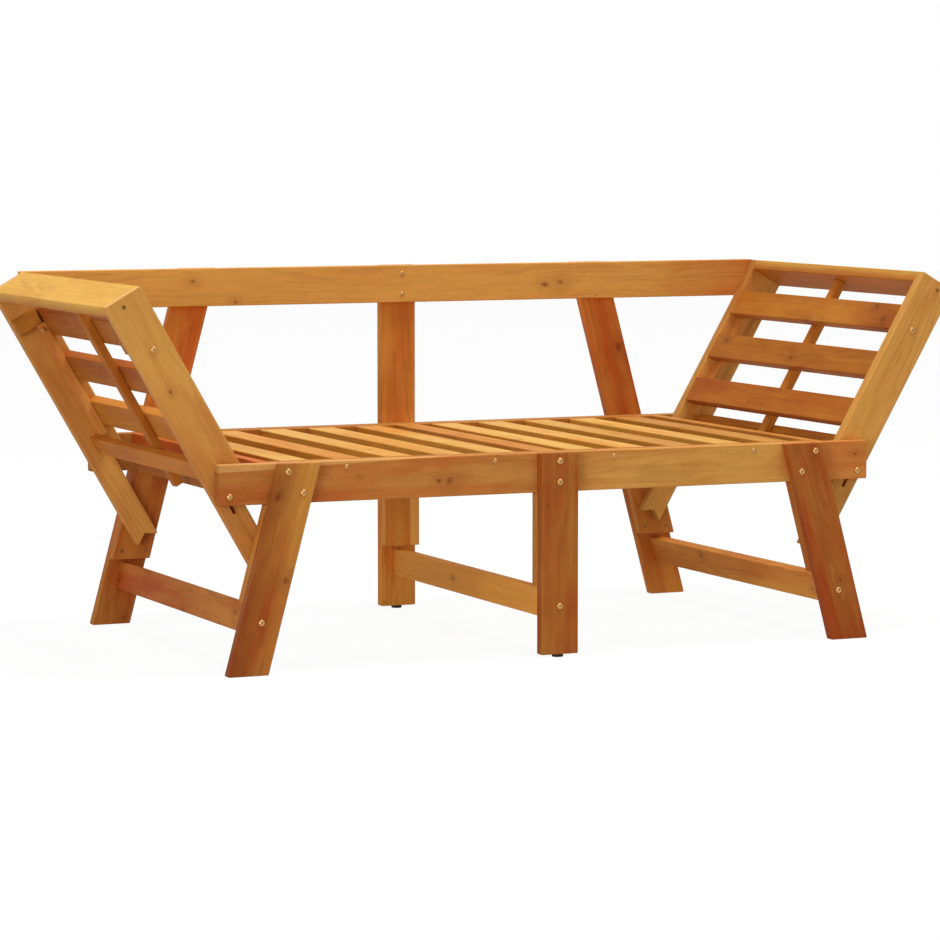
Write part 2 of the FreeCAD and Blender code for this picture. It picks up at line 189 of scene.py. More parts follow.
# Points nearer to each other than this are one when a face is cut into triangles.
MERGE_DISTANCE = 1e-9
# Lowest and highest distance from the tree's pith to a board's middle: anything along it, up
# to 60 mm across it, and 20 to 80 mm through it.
PITH_RANGE = ((-40, -0.06, 0.02), (40, 0.06, 0.08))
# A board that gets redder across gets darker too. One with no knots has them far away.
SLANT_DARKENING = 0.65
FAR_KNOT = (9, 9, 0.004)
timber_yard = np.random.default_rng(11)


def reach(node, axes, keep=None):
    """Lowest and highest place of a CAD node along each direction, over the points to keep."""
    points = np.array([v.co for v in frame["nodes"][node].data.vertices], float)
    if keep is not None:
        points = points[keep(points)]
    places = points @ np.array(axes).T
    return places.min(0), places.max(0)


def eased_outline(corners, radii):
    """Round the corners of a closed outline and divide its long sides.

    Gives points and outward normals, anticlockwise. The centre of a corner's arc lies on the
    corner's bisector, and each of its points is the centre plus the radius times the normal.
    """
    corners = np.array(corners, float)
    radii = np.array(radii, float)
    following = np.roll(corners, -1, axis=0)
    if (corners[:, 0] * following[:, 1] - corners[:, 1] * following[:, 0]).sum() < 0:
        corners, radii = corners[::-1], radii[::-1]
        following = np.roll(corners, -1, axis=0)
    sides = following - corners
    sides /= np.linalg.norm(sides, axis=1)[:, None]
    outward = np.stack([sides[:, 1], -sides[:, 0]], axis=1)
    arcs, arc_normals = [], []
    for corner, radius, before, after in zip(corners, radii, np.roll(outward, 1, axis=0), outward):
        turn = np.arctan2(before[0] * after[1] - before[1] * after[0], before @ after)
        bend = radius * np.sign(turn)
        angles = np.arctan2(before[1], before[0]) + turn * np.linspace(0, 1, ROUND_STEPS + 1)
        normals = np.stack([np.cos(angles), np.sin(angles)], axis=1)
        arcs.append(corner - bend * (before + after) / (1 + before @ after) + bend * normals)
        arc_normals.append(normals)
    points, normals = [], []
    for i, arc in enumerate(arcs):
        end = arcs[(i + 1) % len(arcs)][0]
        inner = int(np.linalg.norm(end - arc[-1]) / SIDE_STEP)
        shares = np.linspace(0, 1, inner + 2)[1:-1, None]
        points += [arc, arc[-1] + (end - arc[-1]) * shares]
        normals += [arc_normals[i], np.repeat(outward[i][None], inner, axis=0)]
    return np.concatenate(points), np.concatenate(normals)


def lid(points, loops, up):
    """Triangles over a loop of point numbers, less any loop inside it, facing up or down.

    They are the Delaunay triangles whose middles lie inside an odd number of the loops: a
    line from such a middle towards +x crosses the loops' sides an odd number of times.
    """
    index = np.concatenate(loops)
    starts = np.cumsum([0] + [len(loop) for loop in loops])
    ends = np.concatenate([start + np.roll(np.arange(len(loop)), -1)
                           for start, loop in zip(starts, loops)])
    flat = points[index, :2]
    sides = np.column_stack([np.arange(len(index)), ends]).tolist()
    found = delaunay_2d_cdt(flat.tolist(), sides, [], 0, MERGE_DISTANCE)
    first = np.array([numbers[0] for numbers in found[3]])
    faces = first[np.array(found[2])]
    a, b, c = (flat[faces[:, i]] for i in range(3))
    middle = (a + b + c) / 3
    rise = flat[ends] - flat
    share = (middle[:, None, 1] - flat[None, :, 1]) / np.where(rise[:, 1] == 0, 1, rise[:, 1])
    crossed = ((flat[:, 1] > middle[:, None, 1]) != (flat[ends, 1] > middle[:, None, 1]))
    crossed &= flat[:, 0] + share * rise[:, 0] > middle[:, None, 0]
    within = crossed.sum(1) % 2 == 1
    rising = (b - a)[:, 0] * (c - a)[:, 1] - (b - a)[:, 1] * (c - a)[:, 0] > 0
    return index[np.where((rising == up)[:, None], faces, faces[:, ::-1])[within]]


def ring_faces(rows, count, start=0):
    """Four-sided faces between rows of points that run round a closed loop."""
    i, j = np.meshgrid(np.arange(rows - 1), np.arange(count), indexing="ij")
    k = (j + 1) % count
    faces = np.stack([i * count + j, i * count + k, (i + 1) * count + k, (i + 1) * count + j], 2)
    return faces.reshape(-1, 4) + start


def rounded_plate(outline, outward, thickness, groove=None):
    """A plate with rounded edges: its points, faces, and a normal for each corner of each face.

    Round the edge, with an angle from -90 to 90 degrees, the outline moves in by the radius
    times (1 - cosine), less at sawn ends, and up by the radius times the sine. A groove is
    an outline, its normals, its depth, and whether it is in the upper face.
    """
    quarter = np.linspace(0, np.pi / 2, ROUND_STEPS + 1)
    angles = np.concatenate([-quarter[::-1], quarter])[:, None]
    levels = np.repeat([-1, 1], ROUND_STEPS + 1)[:, None] * (thickness / 2 - EDGE_ROUND)
    count = len(outline)
    ease = 1 - END_SHARPNESS * outward[:, 0] ** 2
    ease *= 1 + SANDING_SHARE * np.sin(outline[:, 0] * SANDING_WAVE)
    inset = EDGE_ROUND * (1 - np.cos(angles)) * ease
    flat = outline[None] - inset[..., None] * outward[None]
    height = np.broadcast_to(levels + EDGE_ROUND * np.sin(angles), inset.shape)[..., None]
    points = np.concatenate([flat, height], axis=2).reshape(-1, 3)
    side = np.cos(angles)[..., None] * outward[None]
    up = np.broadcast_to(np.sin(angles)[..., None], (len(angles), count, 1))
    normals = np.concatenate([side, up], axis=2).reshape(-1, 3)
    walls = ring_faces(len(angles), count)
    faces, corner_normals = walls.tolist(), [normals[walls].reshape(-1, 3)]
    loops = {False: [np.arange(count)], True: [np.arange(count) + (len(angles) - 1) * count]}
    if groove:
        ring, ring_normals, depth, in_upper = groove
        sign = 1 if in_upper else -1
        face_height = sign * thickness / 2
        rim = np.column_stack([ring, np.full(len(ring), face_height)])
        start = len(points)
        points = np.concatenate([points, rim, rim - [0, 0, sign * depth]])
        rim_loop = start + np.arange(len(ring))
        loops[in_upper].append(rim_loop)
        walls = ring_faces(2, len(ring), start)
        walls = walls[:, ::-1] if not in_upper else walls
        flat_normals = np.column_stack([ring_normals, np.zeros(len(ring))])
        faces += walls.tolist()
        corner_normals.append(np.tile(flat_normals, (2, 1))[walls - start].reshape(-1, 3))
        floor_faces = lid(points, [rim_loop + len(ring)], in_upper)
        faces += floor_faces.tolist()
        corner_normals.append(np.tile([0, 0, sign], (floor_faces.size, 1)))
    for upper, level_loops in loops.items():
        lid_faces = lid(points, level_loops, upper)
        faces += lid_faces.tolist()
        corner_normals.append(np.tile([0, 0, 1 if upper else -1], (lid_faces.size, 1)))
    return points, faces, np.concatenate(corner_normals)


def board(name, node, body, slot, wood, along, across, tone=0.0, red=0.3, edge=0.0, sap=None,
          knots=(), slant=0.0, depth=0.0, corners=None, radii=None, keep=None, groove=None):
    """One wooden board in the place of a CAD solid, along its grain and across its face.

    Tone is how much brighter it is than its kind, and red runs from pale to reddish wood: each
    is one value, or several from the board's start to its end. Edge is painted light or shade
    on its sawn sides: how much brighter they are drawn. Slant is how much redder it gets per
    metre across, and depth per metre through it, which on the caps is painted shade, redder
    towards the underside. Sap is the line beyond which sapwood shows: its place across the
    board and its slope. Each of up to three knots is a place along and across, and a radius.
    Corners and radii are for a board that isn't a rectangle, and keep picks one board out of a
    node that holds several.
    """
    axes = np.array([along, across, np.cross(along, across)], float)
    low, high = reach(node, axes, keep)
    if corners is None:
        corners = [(low[0], low[1]), (high[0], low[1]), (high[0], high[1]), (low[0], high[1])]
    outline, outward = eased_outline(corners, radii or [CORNER_ROUND] * len(corners))
    flat, faces, corner_normals = rounded_plate(outline, outward, high[2] - low[2], groove)
    flat[:, 2] += (low[2] + high[2]) / 2
    piece = new_piece(name, flat @ axes, faces, wood)
    mesh = piece.data
    mesh.normals_split_custom_set((corner_normals @ axes).tolist())
    middle = (low + high) / 2
    local = flat - middle
    pith = timber_yard.uniform(*PITH_RANGE)
    reds = np.atleast_1d(red)
    stops = np.linspace(low[0], high[0], len(reds))
    redness = np.interp(flat[:, 0], stops, reds) + slant * local[:, 1] + depth * local[:, 2]
    tones = np.atleast_1d(tone)
    lightness = np.interp(flat[:, 0], np.linspace(low[0], high[0], len(tones)), tones)
    lightness = lightness - SLANT_DARKENING * slant * local[:, 1]
    sap_side = np.full(len(flat), -1.0)
    if sap:
        sap_side = np.sign(sap[0]) * (local[:, 1] - sap[0] - sap[1] * local[:, 0])
    to_end = (high[0] - low[0]) / 2 - np.abs(local[:, 0])
    from_face = ((high[2] - low[2]) / 2 - np.abs(local[:, 2])) / EDGE_ROUND
    side = np.clip(from_face, 0, 1)
    # Painted highlight: a brightness that peaks in the middle of each rounded edge, and is 0.5
    # elsewhere.
    painted_edge_highlight = np.maximum(1 - np.abs(from_face - 0.5), 0.5)
    # The timber's lightness takes the edge value on the sawn sides, as painted light or shade.
    attributes = {"grain": local + pith, "wear": np.column_stack([to_end, side, painted_edge_highlight]),
                  "timber": np.column_stack([lightness + edge * side, redness, sap_side])}
    for number, spot in enumerate((*knots, FAR_KNOT, FAR_KNOT, FAR_KNOT)[:3], start=1):
        attributes[f"knot_{number}"] = local * (1, 1, 0) - (*spot[:2], -spot[2])
    for kind, values in attributes.items():
        layer = mesh.attributes.new(kind, "FLOAT_VECTOR", "POINT")
        layer.data.foreach_set("vector", values.ravel())
    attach(piece, body)
    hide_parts(node)


# Growth rings are 6.5 mm wide, and dark late wood builds up from a third of that on. They
# bend by 12 mm in each metre, by up to 34 mm in long sways, and by 10 mm round a knot.
RING_SPACING = 0.0065
LATE_WOOD = (0.3, 0.97)
RING_BENDS = (0.012, 0.034, 0.010)
# There is one pin knot, of up to 4.2 mm radius, to each 420 mm along the grain and 90 mm
# across it. Distances along the grain count less, so that all knots are longer that way.
PIN_CELL = (0.42, 0.09)
PIN_SIZE = 0.0042
PIN_LENGTHWAYS = 0.6
KNOT_LENGTHWAYS = 0.75
# In a knot's radii: where its rim begins and is full, how far the figure makes that ragged,
# and where the darker wood around it begins and is full.
KNOT_RIM = (1.7, 0.4)
KNOT_RAGGED = 0.7
KNOT_SURROUND = (5.5, 0.8)
# The line where sapwood begins is 3 mm wide, and ragged by 3 mm more. The look of end grain
# fades out from 0.3 to 0.7 mm from a sawn end.
SAP_LINE = (-0.0010, 0.0018)
SAP_RAGGED = 0.003
SAWN_END = (0.0007, 0.0003)
# How much slow bands and patches add to the redness, and how much fibres, figure and a painted
# highlight along the rounded edges add to the brightness, each with the value that brings the
# average back.
REDNESS_MOVES, REDNESS_MIDDLE = (0.32, 0.28, 0), 0.30
LIGHT_MOVES, LIGHT_MIDDLE = (0.07, 0.07, 0.05), 0.935
# Fibres stand up, and late wood and open pores lie lower, as shares of the relief's 0.5 mm.
RELIEF = (0.4, -0.25, -0.6)
# Widths and lengths of the wood's patterns in mm, their octaves, and the noise values that
# become 0 and 1. The fibres are drawn about three times as coarse as real ones, to show.
PATTERNS = {"sway": (55, 380, 2, 0.0, 1.0), "bands": (34, 800, 3, 0.34, 0.66),
            "streaks": (4.5, 240, 4, 0.47, 0.82), "fibres": (1.5, 50, 3, 0.25, 0.75),
            "pores": (0.9, 8, 2, 0.60, 0.74), "figure": (14, 40, 2, 0.3, 0.7),
            "patches": (48, 150, 2, 0.34, 0.66), "clear": (45, 420, 1, 0.36, 0.70)}


def oiled_acacia(name, gold, red, dark, sapwood="#E2AE58", painted_end_light=0.0, sides=None):
    """Planed acacia under a coat of oil, from the grain, timber, wear and knot attributes.

    Growth rings are where the distance from the pith, bent by slow noise and round the knot,
    passes whole multiples of the ring spacing: dark late wood builds up and stops abruptly.
    The oil leaves a satin surface with open pores, and darkens sawn ends. Sawn sides can be
    drawn deeper, as painted shade, and sawn ends pale, as painted light.
    """
    material, tree = new_material(name)
    grain = add(tree, "ShaderNodeAttribute", {}, attribute_name="grain")["Vector"]
    timber = add(tree, "ShaderNodeAttribute", {}, attribute_name="timber")["Vector"]
    wear = add(tree, "ShaderNodeAttribute", {}, attribute_name="wear")["Vector"]
    timber = add(tree, "ShaderNodeSeparateXYZ", {"Vector": timber})
    wear = add(tree, "ShaderNodeSeparateXYZ", {"Vector": wear})
    masks = {"sides": wear[1]}
    for pattern, (width, length, octaves, low, high) in PATTERNS.items():
        cells = add(tree, "ShaderNodeVectorMath",
                    {0: grain, 1: (1000 / length, 1000 / width, 1000 / width)},
                    operation="MULTIPLY")
        noise = add(tree, "ShaderNodeTexNoise", {"Vector": cells, "Scale": 1.0,
                                                 "Detail": octaves, "Roughness": 0.6})
        masks[pattern] = add(tree, "ShaderNodeMapRange",
                             {"Value": noise, "From Min": low, "From Max": high},
                             interpolation_type="SMOOTHSTEP")

    cells = add(tree, "ShaderNodeVectorMath", {0: grain, 1: (1 / PIN_CELL[0], 1 / PIN_CELL[1], 0)},
                operation="MULTIPLY")
    pin = add(tree, "ShaderNodeTexVoronoi", {"Vector": cells, "Scale": 1.0, "Randomness": 0.9},
              voronoi_dimensions="2D")
    pin_way = add(tree, "ShaderNodeVectorMath", {0: cells, 1: pin["Position"]},
                  operation="SUBTRACT")
    pin_way = add(tree, "ShaderNodeVectorMath",
                  {0: pin_way, 1: (PIN_LENGTHWAYS * PIN_CELL[0] / PIN_SIZE,
                                   PIN_CELL[1] / PIN_SIZE, 0)},
                  operation="MULTIPLY")
    pin_far = add(tree, "ShaderNodeVectorMath", {0: pin_way}, operation="LENGTH")["Value"]
    pin_size = add(tree, "ShaderNodeSeparateColor", {"Color": pin["Color"]})
    pin_far = add(tree, "ShaderNodeMath", {0: pin_far, 1: pin_size}, operation="DIVIDE")
    knot_far = pin_far
    for number in (1, 2, 3):
        knot = add(tree, "ShaderNodeAttribute", {}, attribute_name=f"knot_{number}")["Vector"]
        radius = add(tree, "ShaderNodeSeparateXYZ", {"Vector": knot})[2]
        flat = add(tree, "ShaderNodeVectorMath", {0: knot, 1: (KNOT_LENGTHWAYS, 1, 0)},
                   operation="MULTIPLY")
        far = add(tree, "ShaderNodeVectorMath", {0: flat}, operation="LENGTH")["Value"]
        far = add(tree, "ShaderNodeMath", {0: far, 1: radius}, operation="DIVIDE")
        knot_far = add(tree, "ShaderNodeMath", {0: knot_far, 1: far}, operation="MINIMUM")
    ragged_knot = add(tree, "ShaderNodeMath",
                      {0: masks["figure"], 1: KNOT_RAGGED, 2: knot_far},
                      operation="MULTIPLY_ADD")
    masks["knot"] = add(tree, "ShaderNodeMapRange",
                        {"Value": ragged_knot, "From Min": KNOT_RIM[0], "From Max": KNOT_RIM[1]},
                        interpolation_type="SMOOTHSTEP")
    masks["round_knot"] = add(tree, "ShaderNodeMapRange",
                              {"Value": knot_far, "From Min": KNOT_SURROUND[0],
                               "From Max": KNOT_SURROUND[1]},
                              interpolation_type="SMOOTHSTEP")

    to_pith = add(tree, "ShaderNodeVectorMath", {0: grain, 1: (0, 1, 1)}, operation="MULTIPLY")
    to_pith = add(tree, "ShaderNodeVectorMath", {0: to_pith}, operation="LENGTH")["Value"]
    along = add(tree, "ShaderNodeSeparateXYZ", {"Vector": grain})
    bends = add(tree, "ShaderNodeCombineXYZ",
                {0: along, 1: masks["sway"], 2: masks["round_knot"]})
    bend = add(tree, "ShaderNodeVectorMath", {0: bends, 1: RING_BENDS},
               operation="DOT_PRODUCT")["Value"]
    bent = add(tree, "ShaderNodeMath", {0: to_pith, 1: bend}, operation="ADD")
    turns = add(tree, "ShaderNodeMath", {0: bent, 1: RING_SPACING}, operation="DIVIDE")
    ring = add(tree, "ShaderNodeMath", {0: turns}, operation="FRACT")
    ring = add(tree, "ShaderNodeMapRange",
               {"Value": ring, "From Min": LATE_WOOD[0], "From Max": LATE_WOOD[1]},
               interpolation_type="SMOOTHSTEP")
    masks["rings"] = add(tree, "ShaderNodeMath", {0: ring, 1: masks["clear"]},
                         operation="MULTIPLY")
    ragged = add(tree, "ShaderNodeMath", {0: masks["streaks"], 1: SAP_RAGGED, 2: timber[2]},
                 operation="MULTIPLY_ADD")
    masks["sapwood"] = add(tree, "ShaderNodeMapRange",
                           {"Value": ragged, "From Min": SAP_LINE[0], "From Max": SAP_LINE[1]},
                           interpolation_type="SMOOTHSTEP")
    masks["sawn_end"] = add(tree, "ShaderNodeMapRange",
                            {"Value": wear[0], "From Min": SAWN_END[0], "From Max": SAWN_END[1]})

    changes = add(tree, "ShaderNodeCombineXYZ", {0: masks["bands"], 1: masks["patches"]})
    change = add(tree, "ShaderNodeVectorMath", {0: changes, 1: REDNESS_MOVES},
                 operation="DOT_PRODUCT")["Value"]
    change = add(tree, "ShaderNodeMath", {0: change, 1: REDNESS_MIDDLE}, operation="SUBTRACT")
    redness = add(tree, "ShaderNodeMath", {0: timber[1], 1: change}, operation="ADD",
                  use_clamp=True)
    colour = add(tree, "ShaderNodeMix", {0: redness, 6: linear(gold), 7: linear(red)},
                 data_type="RGBA")[2]
    # Each layer is a mask, how much of its shade it brings at most, and that shade.
    layers = (("rings", 0.22, dark), ("streaks", 0.22, dark), ("sapwood", 0.75, sapwood),
              ("round_knot", 0.22, dark), ("pores", 0.25, "#4A2A10"), ("knot", 0.68, "#6E2E0A"),
              # The first sawn_end layer darkens end grain; the second is painted light, which
              # draws the ends pale in the sapwood colour.
              ("sawn_end", 0.12, dark), ("sawn_end", painted_end_light, sapwood))
    # Painted shade: when given, the sawn sides are drawn in a deeper colour, as the shaded gaps
    # between boards show them.
    if sides:
        layers = (("sides", 0.6, sides), *layers)
    for mask, amount, shade in layers:
        weight = add(tree, "ShaderNodeMath", {0: masks[mask], 1: amount}, operation="MULTIPLY")
        colour = add(tree, "ShaderNodeMix", {0: weight, 6: colour, 7: linear(shade)},
                     data_type="RGBA")[2]
    # The third brightness is the painted highlight along rounded edges.
    lights = add(tree, "ShaderNodeCombineXYZ",
                 {0: masks["fibres"], 1: masks["figure"], 2: wear[2]})
    light = add(tree, "ShaderNodeVectorMath", {0: lights, 1: LIGHT_MOVES},
                operation="DOT_PRODUCT")["Value"]
    light = add(tree, "ShaderNodeMath", {0: light, 1: timber[0]}, operation="ADD")
    light = add(tree, "ShaderNodeMath", {0: light, 1: LIGHT_MIDDLE}, operation="ADD")
    colour = add(tree, "ShaderNodeHueSaturation", {"Color": colour, "Value": light})

    reliefs = add(tree, "ShaderNodeCombineXYZ",
                  {0: masks["fibres"], 1: masks["rings"], 2: masks["pores"]})
    relief = add(tree, "ShaderNodeVectorMath", {0: reliefs, 1: RELIEF},
                 operation="DOT_PRODUCT")["Value"]
    bump = add(tree, "ShaderNodeBump", {"Height": relief, "Strength": 0.3, "Distance": 0.0005})
    rough = add(tree, "ShaderNodeMapRange", {"Value": masks["fibres"], "To Min": 0.56,
                                             "To Max": 0.70})
    surface = add(tree, "ShaderNodeBsdfPrincipled",
                  {"Base Color": colour, "Roughness": rough, "IOR": 1.5,
                   "Specular IOR Level": 0.12, "Normal": bump})
    add(tree, "ShaderNodeOutputMaterial", {"Surface": surface})
    return material


# Along the bench, from front to back, and up.
X, Y, Z = np.eye(3)
# Honey acacia: even heartwood in which the oil brings up long warm streaks, so that the rails
# look golden at one end and redder at the other, with a pale band of sapwood on some edges.
honey_acacia = oiled_acacia("oiled_acacia_honey", "#DC9E4C", "#C66A2C", "#8A4818", "#F2B466")
board("front_rail_board", "front_rail", "base", "acacia_rail", honey_acacia, X, Z,
      tone=(-0.22, -0.19, -0.13, -0.10, -0.09, -0.10, -0.08, -0.01, -0.02, -0.03, 0.0, 0.05, 0.05),
      red=(0.9, 0.8, 0.66, 0.62, 0.7, 0.65, 0.45, 0.12, 0.1, 0.02, -0.1, 0.68, 0.75),
      sap=(0.0407, 0.031), knots=((-0.1992, -0.0079, 0.006), (-0.2193, -0.0078, 0.004)))
board("back_rail_board", "back_rail", "base", "acacia_rail", honey_acacia, X, Z,
      tone=-0.28, red=(0.5, 0.4, 0.3, 0.4, 0.3), knots=[(0.28, 0.01, 0.006)])
board("top_rail_board", "top_rail", "base", "acacia_rail", honey_acacia, X, Z,
      tone=(0.12, 0.10, 0.04, 0.01, 0.0, -0.02, -0.03),
      red=(-0.36, -0.46, -0.3, -0.15, -0.07, -0.03, 0.05, 0.85),
      knots=((-0.418, 0.011, 0.0045), (-0.335, -0.029, 0.0035), (0.331, -0.0025, 0.006)))

# Legs, back posts and the spacers behind them: acacia boards that stand outside the rails
# and are bolted through them, with the spacers screwed on behind, below the rails. The end
# ones lean 15 degrees and are sawn level at the floor and at the top.

LEAN = np.radians(15)
LEAN_OF = {"left": 1, "centre": 0, "right": -1}
# Red-brown acacia: heartwood from nearer the pith, which the oil makes deep and red, with
# dark rings that the eye can follow up the legs.
red_acacia = oiled_acacia("oiled_acacia_red_brown", "#D0903E", "#B04E1A", "#5E2A0E")
# Each board's looks, as board() takes them, with lists that run from the foot up.
LEG_LOOKS = {
    "front_leg_left": dict(tone=(-0.26, -0.18, -0.11, -0.07), red=(0.68, 0.8, 0.45, 0.3),
                           slant=-7, knots=((-0.015, 0.023, 0.006), (0.119, -0.0256, 0.0085))),
    # Its edge value is painted shade: its sawn sides are drawn darker.
    "front_leg_centre": dict(tone=-0.14, edge=-0.08, red=(0.7, 0.6, 0.62)),
    "front_leg_right": dict(tone=-0.1, red=(0.98, 0.8, 0.72)),
    "back_post_left": dict(tone=(-0.05, 0.05, 0.45, 0.6), red=(0.53, 0.75, 0.6, 0.62)),
    # Painted light: the post is drawn brighter below the seat, to offset the seat's shade.
    "back_post_centre": dict(tone=(0.6, 0.6, 0.6, 0.6, 0.6, 0.5, 0.07, 0.15, 0.22, 0.22, 0.22),
                             red=(0.31, 0.36, 0.38, 0.4)),
    "back_post_right": dict(tone=(0.65, 0.1, 0.0, 0.62), red=(0.3, 0.78, 0.76, 0.48),
                            knots=[(0.16, 0.02, 0.006)]),
    "front_spacer_left": dict(red=0.5), "front_spacer_centre": dict(red=0.4),
    "front_spacer_right": dict(red=0.5),
    "back_spacer_left": dict(tone=(0.1, 0.0, -0.1), red=(0.4, 0.55, 0.8)),
    # Painted light: the spacer is drawn brighter, to offset the shade under the seat.
    "back_spacer_centre": dict(tone=0.5, red=0.3, sap=(0.016, 0.0)),
    "back_spacer_right": dict(tone=0.25, red=0.35)}


def level_cut(node, along, across):
    """Corners of a leaning board that is sawn level at both ends, in its own directions.

    A corner's place along the board is its height, less what its place across adds to that,
    over the rise per metre along the board.
    """
    low, high = reach(node, [along, across, Z])
    return [((level - edge * across[2]) / along[2], edge)
            for level, edges in ((low[2], (low[1], high[1])), (high[2], (high[1], low[1])))
            for edge in edges]


for node, look in LEG_LOOKS.items():
    lean = LEAN_OF[node.split("_")[-1]] * LEAN
    along = np.array([np.sin(lean), 0, np.cos(lean)])
    across = np.array([np.cos(lean), 0, -np.sin(lean)])
    board(f"{node}_board", node, "base", "acacia_leg", red_acacia, along, across,
          corners=level_cut(node, along, across), **look)

# Stretchers: acacia boards on edge from each front leg to its back post, leaning as the legs
# do. A bolt through the leg or post goes into each end.

STRETCHER_LOOKS = {"left": dict(red=(0.5, 0.7, 0.95), tone=0.05, knots=[(-0.267, 0.002, 0.005)]),
                   "centre": dict(red=(-0.5, -0.45, -0.3), tone=0.48, knots=[(0.07, 0.0, 0.003)]),
                   "right": dict(red=(0.2, 0.3, 0.4), tone=0.42)}
for place, look in STRETCHER_LOOKS.items():
    lean = LEAN_OF[place] * LEAN
    upright = np.array([np.sin(lean), 0, np.cos(lean)])
    board(f"stretcher_{place}_board", f"stretcher_{place}", "base", "acacia_leg", red_acacia,
          Y, upright, **look)

# Seat: two half frames of acacia cross rails and strips, screwed between the rails, with pale
# slats screwed across battens. The outer cross rails are notched at their ends for the
# panels' tails.

SEAT_BATTEN_PLACES = (-0.285, 0, 0.285)
# A board that shares its node with others has its points within 50 mm of its place. A
# notch's corners are found to within 1 mm in height and 3 mm along the cross rail.
BOARD_REACH = 0.05
NOTCH_LEVEL_REACH = 0.001
NOTCH_SIDE_REACH = 0.003
# Orange acacia: young heartwood that the oil turns a vivid orange, with a darker brown band
# beyond its sap line.
frame_acacia = oiled_acacia("oiled_acacia_orange", "#DA923C", "#B8581C", "#74340A", "#8E5A28")
# Pale acacia: mostly sapwood, so that the slats look straw yellow with orange streaks. Their
# sawn sides carry painted shade: they are drawn a deeper, more saturated yellow, as the
# shaded gaps between the slats show them.
seat_acacia = oiled_acacia("oiled_acacia_pale", "#E8B45A", "#D98630", "#9C5C14", "#F0C470",
                           sides="#D9921C")
# Tone and redness of each slat, from the middle of the bench outwards.
SLAT_LOOKS = {
    "left": (((-0.1, -0.08, -0.04), (0.1, 0.3, 0.55)), ((-0.14, -0.04, -0.04), (0.4, 0.4, 0.2)),
             ((-0.04, -0.06, -0.02), (0.35, 0.15, 0.0)), ((-0.16, -0.08, 0.0), (0.95, 0.65, 0.3)),
             ((-0.06, -0.14, -0.16), (0.0, 0.3, 0.6))),
    "right": (((-0.11, -0.06, -0.02), 0.1), (-0.08, (0.3, 0.2, 0.0)),
              ((-0.24, -0.18, -0.09), (0.6, 0.45, 0.2)), ((-0.14, -0.09, -0.01), (0.15, 0.3, 0.1)),
              ((-0.26, -0.28, -0.25), (0.6, 0.65, 0.65)))}
OUTER_LOOKS = {"left": dict(tone=0.22, red=0.88, sap=(-0.006, 0.0)),
               "right": dict(tone=-0.12, red=0.35)}


def near(place):
    """A test that picks a node's points near a place between the front and the back."""
    return lambda points: np.abs(points[:, 1] - place) < BOARD_REACH


for half in ("left", "right"):
    board(f"cross_rail_inner_{half}_board", f"cross_rail_inner_{half}", "base", "acacia_frame",
          frame_acacia, Y, Z, tone=-0.1, red=0.15)
    node = f"cross_rail_outer_{half}"
    points = np.array([v.co for v in frame["nodes"][node].data.vertices])
    low, high = points[:, 1:].min(0), points[:, 1:].max(0)
    notch_side = np.abs(points[points[:, 2] < low[1] + NOTCH_LEVEL_REACH][:, 1]).max()
    notch_top = points[np.abs(points[:, 1]) > notch_side + NOTCH_SIDE_REACH][:, 2].min()
    corners = [(-notch_side, low[1]), (notch_side, low[1]), (notch_side, notch_top),
               (high[0], notch_top), (high[0], high[1]), (low[0], high[1]),
               (low[0], notch_top), (-notch_side, notch_top)]
    board(f"{node}_board", node, "base", "acacia_frame", frame_acacia, Y, Z, corners=corners,
          **OUTER_LOOKS[half])
    for row in ("front", "back"):
        board(f"seat_strip_{half}_{row}_board", f"seat_strip_{half}_{row}", "base",
              "acacia_frame", frame_acacia, X, Y, tone=-0.25, red=0.3)
    for number, place in enumerate(SEAT_BATTEN_PLACES, start=1):
        board(f"seat_batten_{half}_{number}", f"seat_battens_{half}", "base", "acacia_frame",
              frame_acacia, X, Y, red=0.1, keep=near(place))
    for number, (tone, red) in enumerate(SLAT_LOOKS[half], start=1):
        board(f"seat_slat_{half}_{number}_board", f"seat_slat_{half}_{number}", "base",
              "acacia_seat", seat_acacia, Y, X, tone=tone, red=red)

# End panels: two acacia arms with a wide upper part, and a tail with a V notch and a blind
# groove for the pivot bolt. A cap is screwed between the arms, and three slats and a bottom
# board are screwed to battens.

# Width of the arm's tail, depth of the V notch in its end, and the height over the pivot and
# radius of the step where the arm gets wide.
TAIL_WIDTH = 0.044
NOTCH_DEPTH = 0.015
STEP_LEVEL = 0.010
STEP_ROUND = 0.008
# The groove is 7 mm wide, with round ends, and as long as the panel's lift.
GROOVE_RADIUS = 0.0035
GROOVE_TRAVEL = 0.032
GROOVE_DEPTH = 0.014
GROOVE_END_POINTS = 13
PANEL_BATTEN_PLACES = (-0.297, 0, 0.297)
ARM_BLOCK_PLACES = (-0.3, 0.3)
# Gold acacia: the rails' honey wood, so that the arms look golden, with painted light on their
# sawn ends, which are drawn pale.
arm_acacia = oiled_acacia("oiled_acacia_gold", "#DC9E4C", "#C66A2C", "#8A4818", "#F8C476",
                          painted_end_light=0.75)
# Straw acacia: pale yellow-brown boards, so that the caps are the lightest faces of the bench.
cap_acacia = oiled_acacia("oiled_acacia_straw", "#E2AC4C", "#C07428", "#8A5214", "#E8BC60")
# Amber acacia: dense heartwood, so that the panels' slats look a dark, saturated amber.
panel_acacia = oiled_acacia("oiled_acacia_amber", "#D0842C", "#A85012", "#5E2A08")
